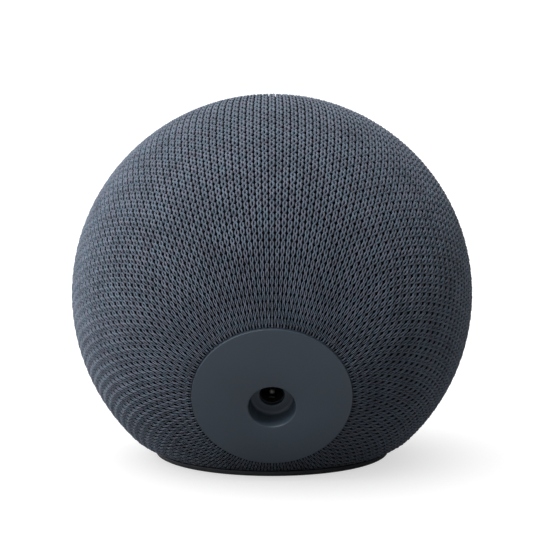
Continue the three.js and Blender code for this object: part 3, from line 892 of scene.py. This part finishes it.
    def strand(self, bm: bmesh.types.BMesh, centres: list[tuple[Vector, float]]) -> None:
        """Adds a closed strand of yarn along a path.

        Args:
            bm: what it is added to.
            centres: the points along the strand, with its radius at each.
        """
        uv = bm.loops.layers.uv.verify()
        made = bmesh.ops.create_circle(bm, segments=self.sides, radius=1.0, cap_ends=True)["verts"]
        template = [vert.co.copy() for vert in made]
        rows = [made]
        for _ in centres[1:]:
            last = rows[-1]
            edges = [bm.edges.get((last[i - 1], last[i])) for i in range(self.sides)]
            geom = bmesh.ops.extrude_edge_only(bm, edges=edges)["geom"]
            fresh = {item for item in geom if isinstance(item, bmesh.types.BMVert)}
            row = [next(e.other_vert(v) for e in v.link_edges if e.other_vert(v) in fresh) for v in last]
            rows.append(row)
        place = {}
        along = 0.0
        for i, (row, (centre, radius)) in enumerate(zip(rows, centres)):
            before = centres[max(i - 1, 0)][0]
            after = centres[min(i + 1, len(centres) - 1)][0]
            tangent = (after - before).normalized()
            out = (centre - tangent * centre.dot(tangent)).normalized()
            side = tangent.cross(out)
            along += (centre - before).length
            for j, (vert, flat) in enumerate(zip(row, template)):
                vert.co = centre + (side * flat.x + out * flat.y) * radius
                place[vert] = (j / self.sides, along)
        end = [bm.edges.get((rows[-1][i - 1], rows[-1][i])) for i in range(self.sides)]
        bmesh.ops.contextual_create(bm, geom=end)
        for face in {face for vert in place for face in vert.link_faces}:
            seam = any(place[v][0] == 0 for v in face.verts) and any(place[v][0] > 0.6 for v in face.verts)
            for loop in face.loops:
                turn, run = place[loop.vert]
                loop[uv].uv = (1.0 if seam and turn == 0 else turn, run)

    def stitches(self, sector: int) -> bpy.types.Object:
        """Builds one sector of the sleeve's stitches.

        Args:
            sector: its number.

        Returns:
            The sector.
        """
        pairs = self.columns // 2
        start = round(sector * pairs / self.sectors)
        count = round((sector + 1) * pairs / self.sectors) - start
        step = 4 * math.pi / self.columns
        bm = bmesh.new()
        for stagger in (0, 1):
            turn = math.pi + start * step + stagger * step / 2
            offset = 0.3 + stagger / 2
            self.leg(bm, offset, 1, turn)
            self.leg(bm, offset, -1, turn)
        bmesh.ops.spin(
            bm, geom=[*bm.verts, *bm.edges, *bm.faces], cent=(0, 0, 0), axis=(0, 0, -1), dvec=(0, 0, 0),
            angle=step * (count - 1), steps=count - 1, use_duplicate=True, use_merge=False,
        )
        bmesh.ops.recalc_face_normals(bm, faces=bm.faces)
        self.loosen(bm)
        self.trim(bm, bridge=False)
        piece = Workpiece()
        piece.bm = bm
        return piece.finish(f"knit_stitches_{sector + 1}", Place.REAR.value, Finishes.yarn, sharp=180)

    def loosen(self, bm: bmesh.types.BMesh) -> None:
        """Shifts the yarn a little here and there, as a real knit sits.

        Args:
            bm: the stitches.
        """
        for vert in bm.verts:
            drift = noise.noise_vector(vert.co * 0.33) * self.wander
            drift += noise.noise_vector(vert.co * 1.1) * self.jitter
            out = vert.co.normalized()
            squeeze = math.sqrt(1 - out.z**2)
            vert.co += (drift - out * drift.dot(out) * 0.6) * squeeze


# ---- rear cover and socket -----------------------------------------------------------------------
@dataclass
class RearCover:
    """The round rear cover, its plug recess and the power socket behind it."""

    recess_r: float = 6.15
    recess_depth: float = 5.6
    drop: float = 3.05  # how far the recess sits below the cover's middle
    thickness: float = 2.0
    skirt_r: float = REAR_R - 1.2
    skirt: float = 1.6  # the skirt's thickness
    skirt_depth: float = 5.0  # from the cover's face to the skirt's end
    cup_wall: float = 1.6  # thickness of the recess's wall
    cup_floor: float = 1.0  # thickness of its floor
    socket_r: float = 3.25
    housing_r: float = 4.2
    housing_length: float = 9.4
    housing_floor: float = 1.4
    bore_r: float = 3.0
    pin_r: float = 0.95

    @property
    def floor(self) -> float:
        """How far the recess's floor is from the ball's middle."""
        return REAR_PLANE - self.recess_depth

    def build(self) -> None:
        """Builds the cover and what shows of the socket."""
        self.cover()
        self.socket()

    def cover(self) -> None:
        """Builds the cover with its recess."""
        d, floor, top = self.drop, self.floor, REAR_PLANE
        under = top - self.thickness
        skirt_in = self.skirt_r - self.skirt
        rings = [
            Ring(REAR_R, top, 0.1),
            Ring(REAR_R, under, 0.2),
            Ring(self.skirt_r, under),
            Ring(self.skirt_r, top - self.skirt_depth),
            Ring(skirt_in, top - self.skirt_depth),
            Ring(skirt_in, under),
            Ring(self.recess_r + self.cup_wall, under, 0, d),
            Ring(self.recess_r + self.cup_wall, floor - self.cup_floor, 0.2, d),
            Ring(self.socket_r, floor - self.cup_floor, 0, d),
            Ring(self.socket_r, floor, 0.18, d),
            Ring(self.recess_r - 0.3, floor, 0.9, d),
            Ring(self.recess_r, top, 0.35, d),
        ]
        cover = Workpiece().loft(rings, 144)
        cover.finish("rear_disc", Place.REAR.value, Finishes.cover, replaces=["rear_cover"])

    def socket(self) -> None:
        """Builds the socket's housing, centre pin and side contact."""
        d, face = self.drop, self.floor - self.cup_floor - GAP
        back = face - self.housing_length
        bottom = back + self.housing_floor
        foot = self.pin_r + 0.45  # radius of the hole that the pin stands in
        housing = Workpiece().loft(
            [
                Ring(self.housing_r, face, 0.25, d), Ring(self.housing_r, back, 0.2, d),
                Ring(foot, back, 0, d), Ring(foot, bottom, 0, d),
                Ring(self.bore_r, bottom, 0, d), Ring(self.bore_r, face - 1.2, 0, d),
                Ring(self.bore_r + 0.15, face, 0.15, d),
            ],
            64,
        )
        housing.finish("socket_barrel", Place.REAR.value, Finishes.black, replaces=["socket_housing"])
        # the pin and the spring take nickel darkened as painted shade for the depth of the recess
        pin = Workpiece().disc(
            [
                Ring(self.pin_r, bottom + GAP, 0.1, d), Ring(self.pin_r, face - 0.4, 0, d),
                Ring(self.pin_r * 0.8, face - 0.05, 0, d), Ring(self.pin_r * 0.3, face + 0.2, 0, d),
            ],
            40,
        )
        pin.finish("socket_centre_pin", Place.REAR.value, Finishes.pin, replaces=["socket_pin"])
        spring = Workpiece().bar((1.4, 0.25, 5.6), (0, self.drop + 2.45, face - 4.2), 0.1)
        spring.finish("socket_spring", Place.REAR.value, Finishes.pin, replaces=["socket_contact"])


# ---- control panel -------------------------------------------------------------------------------
@dataclass(frozen=True)
class Key:
    """One key of the panel."""

    name: str
    x: float
    body: Body


@dataclass
class ControlPanel:
    """The round front panel with its keys, their printed signs, the microphone holes and the light ring."""

    panel_r: float = 24.3
    top: float = 47.0  # the panel's face, from the ball's middle
    thickness: float = 2.0
    skirt: float = 2.0  # the skirt's thickness
    skirt_depth: float = 5.65  # from the face to the skirt's end
    guide_foot: float = 42.0  # inner end of the light ring
    key_r: float = 4.4
    proud: float = 0.2  # how far the keys' edges stand over the panel
    dish: float = 0.16  # how far their middles are hollowed
    mic_r: float = 0.45
    mics: tuple[Spot, ...] = ((-8.0, 13.5), (8.0, 13.5))
    keys: tuple[Key, ...] = (
        Key("volume_down", -13.0, Body.VOLUME_DOWN),
        Key("mute", 0.0, Body.MUTE),
        Key("volume_up", 13.0, Body.VOLUME_UP),
    )

    def build(self) -> None:
        """Builds the panel, the ring and the keys."""
        self.panel()
        self.light_ring()
        for key in self.keys:
            self.key(key)
            self.sign(key)

    def panel(self) -> None:
        """Builds the panel, with a countersunk hole for each key and microphone."""
        r, top = self.panel_r, self.top
        under, skirt = top - self.thickness, top - self.skirt_depth
        rings = [
            Ring(1.0, top), Ring(r, top, 0.3), Ring(r, skirt, 0.15), Ring(r - self.skirt, skirt),
            Ring(r - self.skirt, under), Ring(1.0, under),
        ]
        body = Workpiece().disc(rings, 128)
        key_holes = [self.hole(self.key_r + GAP, 0.3, 72, (key.x, 0)) for key in self.keys]
        mic_holes = [self.hole(self.mic_r, 0.25, 24, at) for at in self.mics]
        body.carve(key_holes + mic_holes)
        body.finish("panel_face", Place.FRONT.value, Finishes.cover, replaces=["control_panel"])

    def hole(self, radius: float, flare: float, facets: int, at: Spot) -> Workpiece:
        """Builds the tool that cuts one countersunk hole.

        Args:
            radius: the hole's radius.
            flare: how far its mouth widens, over the same depth.
            facets: how many sides it has.
            at: where its axis is.

        Returns:
            The tool.
        """
        rings = [
            Ring(radius, self.top - 2 * self.thickness), Ring(radius, self.top - flare),
            Ring(radius + flare, self.top), Ring(radius + flare, self.top + 1),
        ]
        return Workpiece().disc(rings, facets, at)

    def light_ring(self) -> None:
        """Builds the diffuser that frames the panel."""
        inside = self.panel_r + GAP
        rings = [
            Ring(inside, FRONT_PLANE, 0.35), Ring(FRONT_R, FRONT_PLANE, 0.45),
            Ring(FRONT_R, self.guide_foot + 0.6, 0.3), Ring(inside, self.guide_foot, 0.3),
        ]
        guide = Workpiece().loft(rings, 144)
        guide.finish("light_guide", Place.FRONT.value, Finishes.diffuser, replaces=["light_ring"])

    def key(self, key: Key) -> None:
        """Builds one key: a cap with a dished top and a collar that keeps it in.

        Args:
            key: which key.
        """
        r, top = self.key_r, self.top + self.proud
        high, low = self.top - 2.35, self.top - 3.0  # the collar's faces
        dish = [Ring(r * k, top - self.dish * (1 - k**2)) for k in (0.9, 0.7, 0.5, 0.3, 0.1)]
        rings = [
            Ring(1.6, low - 0.6), Ring(1.6, low), Ring(r + 0.9, low, 0.1), Ring(r + 0.9, high, 0.1),
            Ring(r, high), Ring(r, top, 0.28), *dish,
        ]
        cap = Workpiece().disc(rings, 72, (key.x, 0))
        cap.finish(f"{key.name}_cap", Place.FRONT.value, Finishes.keys, key.body, [f"{key.name}_button"])

    def sign(self, key: Key) -> None:
        """Builds the sign printed on one key.

        Args:
            key: which key.
        """
        level = self.top + 0.075
        ink = 0.04
        sign = Workpiece()
        if key.body is Body.MUTE:
            low, high = level - ink / 2, level + ink / 2
            sign.bar((1.1, 2.2, ink), (key.x, 0.45, level), 0.5)
            sign.bar((0.22, 0.8, ink), (key.x, -1.35, level))
            frame = [Ring(1.15, high), Ring(1.15, low), Ring(0.93, low), Ring(0.93, high)]
            sign.loft(frame, 32, (key.x, 0.25))
        else:
            sign.bar((2.4, 0.3, ink), (key.x, 0, level), 0.1)
        if key.body is Body.VOLUME_UP:
            sign.bar((0.3, 2.4, ink * 0.9), (key.x, 0, level), 0.1)
        sign.finish(f"{key.name}_sign", Place.FRONT.value, Finishes.print_ink, key.body)


# ---- base ----------------------------------------------------------------------------------------
@dataclass
class Base:
    """The base plate, whose rim shows as a dark band under the sleeve, and the rubber ring it stands on."""

    rim_r: float = 32.0
    rim_top: float = SLEEVE_FLOOR - 0.1
    rim_in: float = 27.6  # inside of the wall that carries the rim
    underside: float = 0.2
    floor_top: float = 3.5
    middle_hole: float = 2.0
    foot_in: float = 20.0
    foot_out: float = 27.4
    foot_height: float = 1.0
    treads: int = 3

    def build(self) -> None:
        """Builds the plate and the foot."""
        self.plate()
        self.foot()

    def plate(self) -> None:
        """Builds the base plate with its rounded rim and the groove that holds the foot."""
        groove, roof = self.foot_out + GAP, self.foot_height + GAP
        rings = [
            Ring(self.middle_hole, roof), Ring(groove, roof), Ring(groove, self.underside, 0.15),
            Ring(self.rim_r - 1.1, self.underside, 0.2), Ring(self.rim_r - 0.3, self.underside + 0.4, 0.3),
            Ring(self.rim_r, self.rim_top, 0.25), Ring(self.rim_in, self.rim_top),
            Ring(self.rim_in, self.floor_top, 0.2), Ring(self.middle_hole, self.floor_top),
        ]
        plate = Workpiece().disc(rings, 144)
        plate.finish("base_rim", Place.TABLE.value, Finishes.band, replaces=["base_plate"])

    def foot(self) -> None:
        """Builds the rubber foot, with grooves round its underside for grip."""
        groove = 0.3
        treads = []
        for i in range(self.treads):
            near = self.foot_in + 1.6 + i * 1.9
            far = near + 0.5
            treads += [Ring(near, 0, 0.1), Ring(near, groove), Ring(far, groove), Ring(far, 0, 0.1)]
        rings = [
            Ring(self.foot_in, 0, 0.3), *treads, Ring(self.foot_out, 0, 0.3),
            Ring(self.foot_out, self.foot_height), Ring(self.foot_in, self.foot_height),
        ]
        foot = Workpiece().loft(rings, 128)
        foot.finish("grip_ring", Place.TABLE.value, Finishes.foot, replaces=["foot_ring"])


# ---- inside --------------------------------------------------------------------------------------
@dataclass
class Woofer:
    """The woofer's soft parts: the spider, and the surround, whose inner half moves with the cone."""

    crest_r: float = 25.0  # radius of the roll's crest
    foot: float = 21.9  # height at which the roll springs from its flat edges
    roll: float = 2.0  # the roll's own radius
    rubber: float = 0.45  # the surround's thickness
    flange_r: float = 28.3
    lip_r: float = 21.6
    spider_in: float = 7.65
    spider_out: float = 18.1
    spider_height: float = 6.2
    waves: int = 3
    wave_height: float = 0.45
    cloth: float = 0.35  # the spider's thickness

    def build(self) -> None:
        """Builds the surround and the spider."""
        outer = self.half_roll(1, self.flange_r)
        outer.finish("surround_roll", Place.WOOFER.value, Finishes.surround, replaces=["woofer_surround"])
        inner = self.half_roll(-1, self.lip_r)
        inner.finish("surround_lip", Place.WOOFER.value, Finishes.surround, Body.DIAPHRAGM)
        self.spider()

    def half_roll(self, side: int, edge: float) -> Workpiece:
        """Builds the half of the surround on one side of its crest.

        Args:
            side: 1 for the outer half or -1 for the inner one.
            edge: the radius at which the half's flat part ends.

        Returns:
            The half.
        """
        steps = 8
        crest = self.crest_r + side * 0.05
        turns = [math.pi / 2 * i / steps for i in range(steps + 1)]
        layers = [(self.roll, turns), (self.roll - self.rubber, reversed(turns))]
        rings = [Ring(edge, self.foot - self.rubber), Ring(edge, self.foot)]
        for r, way in layers:
            rings += [Ring(crest + side * r * math.cos(a), self.foot + r * math.sin(a)) for a in way]
        return Workpiece().loft(rings, 96)

    def spider(self) -> None:
        """Builds the corrugated spider."""
        steps = 48
        width = self.spider_out - self.spider_in
        wave = []
        for t in (i / steps for i in range(steps + 1)):
            rise = self.wave_height * math.cos(2 * math.pi * self.waves * t)
            wave.append((self.spider_in + width * t, self.spider_height - rise))
        rings = [Ring(r, h) for r, h in wave] + [Ring(r, h + self.cloth) for r, h in reversed(wave)]
        piece = Workpiece().loft(rings, 72)
        piece.finish("spider_cloth", Place.WOOFER.value, Finishes.spider, replaces=["woofer_spider"])


class Insides:
    """The CAD nodes that stay as they are, each dressed in a finish by the start of its name."""

    FINISHES: dict[str, Finish] = {
        "front_shell": Finishes.shell,
        "rear_shell": Finishes.shell,
        "speaker_enclosure": Finishes.shell,
        "tweeter_frame": Finishes.black,
        "tweeter_magnet": Finishes.ferrite,
        "tweeter_dome": Finishes.paper,
        "woofer_cone": Finishes.paper,
        "woofer_dust_cap": Finishes.paper,
        "woofer_voice_coil": Finishes.copper,
        "woofer_magnet": Finishes.ferrite,
        "woofer_gasket": Finishes.foam,
        "mic_gasket": Finishes.foam,
        "socket_board": Finishes.board,
        "control_board": Finishes.board,
        "main_board": Finishes.board,
        "board_shield": Finishes.nickel,
        "thermal_pad": Finishes.pad,
        "heat_sink": Finishes.aluminium,
        "wifi_antenna": Finishes.film,
        "ribbon_cable": Finishes.film,
        "power_lead": Finishes.black,
    }

    def dress(self) -> None:
        """Gives each node its material; steel is what no entry names."""
        for name, node in frame["nodes"].items():
            finish = next((f for start, f in self.FINISHES.items() if name.startswith(start)), Finishes.steel)
            for slot in node.material_slots:
                slot.material = finish.material()
            log.info("%s: %s", name, finish.name)


# ---- studio --------------------------------------------------------------------------------------
@dataclass
class Studio:
    """The pale floor, the soft lights and the camera."""

    distance: float = 0.8  # from the ball's middle to the camera
    elevation: float = math.radians(8.81)
    lens: float = 194.8
    aim_over: float = 5.9 * MM  # how far above the ball's middle the camera looks
    sky: tuple[float, float] = (0.18, 2.1)  # light from the darkest and the brightest side of the room
    sky_towards: Triple = (0.68, -0.3, 0.68)  # the brightest side
    glow: float = 0.62  # how brightly the floor glows by itself, as the camera sees it
    lamps: tuple[tuple[str, Triple, float, float], ...] = (  # name, place, size and power
        ("key", (0.9, -0.2, 0.95), 0.8, 10.0),
        ("front_key", (0.6, 0.75, 1.25), 0.35, 17.0),
    )

    def build(self) -> None:
        """Builds the floor, the lights and the camera."""
        unlit = bpy.data.collections.new("lit by the world only")
        unlit.objects.link(self.floor())
        for entry in unlit.collection_objects:
            entry.light_linking.link_state = "EXCLUDE"
        self.world()
        middle = Vector((0, 0, BALL_Z * MM))
        for name, at, size, power in self.lamps:
            lamp = self.lamp(name, at, middle, size, power)
            lamp.light_linking.receiver_collection = unlit
        self.camera(middle)

    def floor(self) -> bpy.types.Object:
        """Builds the floor, whose glow keeps its shadows pale.

        Returns:
            The floor.
        """
        bm = bmesh.new()
        bmesh.ops.create_grid(bm, x_segments=8, y_segments=8, size=4.0)
        mesh = bpy.data.meshes.new("floor")
        bm.to_mesh(mesh)
        bm.free()
        graph = Graph("floor")
        seen = graph.add("LightPath").outputs["Is Camera Ray"]
        tone = graph.ramp(seen, [(0.0, (0.6,) * 3), (1.0, (0.5,) * 3)])
        glow = graph.math("MULTIPLY", seen, self.glow)
        graph.shade(Base_Color=tone, Roughness=0.8, Specular_IOR_Level=0.1)
        graph.shade(Emission_Color=(1.0, 1.0, 1.0, 1.0), Emission_Strength=glow)
        mesh.materials.append(graph.material)
        item = bpy.data.objects.new("floor", mesh)
        bpy.context.scene.collection.objects.link(item)
        return item

    def world(self) -> None:
        """Sets a white backdrop, and a soft light that comes mostly from above and from one side."""
        world = bpy.data.worlds.new("studio")
        world.use_nodes = True
        tree = world.node_tree
        light = tree.nodes["Background"]
        light.inputs["Color"].default_value = (1.0, 1.0, 1.0, 1.0)
        where = tree.nodes.new("ShaderNodeTexCoord")
        facing = tree.nodes.new("ShaderNodeVectorMath")
        facing.operation = "DOT_PRODUCT"
        facing.inputs[1].default_value = Vector(self.sky_towards).normalized()
        tree.links.new(where.outputs["Generated"], facing.inputs[0])
        spread = tree.nodes.new("ShaderNodeMapRange")
        spread.inputs["From Min"].default_value = -0.2  # directions darker than this are all the same
        spread.inputs["To Min"].default_value, spread.inputs["To Max"].default_value = self.sky
        tree.links.new(facing.outputs["Value"], spread.inputs["Value"])
        tree.links.new(spread.outputs[0], light.inputs["Strength"])
        backdrop = tree.nodes.new("ShaderNodeBackground")
        backdrop.inputs["Color"].default_value = (1.0, 1.0, 1.0, 1.0)
        seen = tree.nodes.new("ShaderNodeLightPath")
        mix = tree.nodes.new("ShaderNodeMixShader")
        tree.links.new(seen.outputs["Is Camera Ray"], mix.inputs[0])
        tree.links.new(light.outputs[0], mix.inputs[1])
        tree.links.new(backdrop.outputs[0], mix.inputs[2])
        tree.links.new(mix.outputs[0], tree.nodes["World Output"].inputs["Surface"])
        bpy.context.scene.world = world
        bpy.context.scene.view_settings.view_transform = "Standard"

    def lamp(self, name: str, at: Triple, target: Vector, size: float, power: float) -> bpy.types.Object:
        """Adds a soft square light.

        Args:
            name: the light's name.
            at: where it is, in metres.
            target: what it points at.
            size: its side, in metres.
            power: its power in watts.

        Returns:
            The light.
        """
        data = bpy.data.lights.new(name, "AREA")
        data.size, data.energy = size, power
        item = bpy.data.objects.new(name, data)
        item.location = at
        item.rotation_euler = (target - Vector(at)).to_track_quat("-Z", "Y").to_euler()
        bpy.context.scene.collection.objects.link(item)
        return item

    def camera(self, middle: Vector) -> None:
        """Adds the camera, behind the speaker and a little above it.

        Args:
            middle: the ball's middle.
        """
        data = bpy.data.cameras.new("camera")
        data.lens, data.sensor_width = self.lens, 36.0
        item = bpy.data.objects.new("camera", data)
        behind = Vector((0, math.cos(self.elevation), math.sin(self.elevation)))
        item.location = middle + self.distance * behind
        aim = middle + Vector((0, 0, self.aim_over))
        item.rotation_euler = (aim - item.location).to_track_quat("-Z", "Y").to_euler()
        bpy.context.scene.collection.objects.link(item)
        bpy.context.scene.camera = item


def main() -> None:
    """Builds every part of the speaker and the studio round it, in order."""
    logging.basicConfig(level=logging.INFO, format="%(message)s")
    Insides().dress()
    for part in (KnitSleeve(), RearCover(), ControlPanel(), Base(), Woofer(), Studio()):
        log.info("building %s", type(part).__name__)
        part.build()


if __name__ == "__main__":
    main()
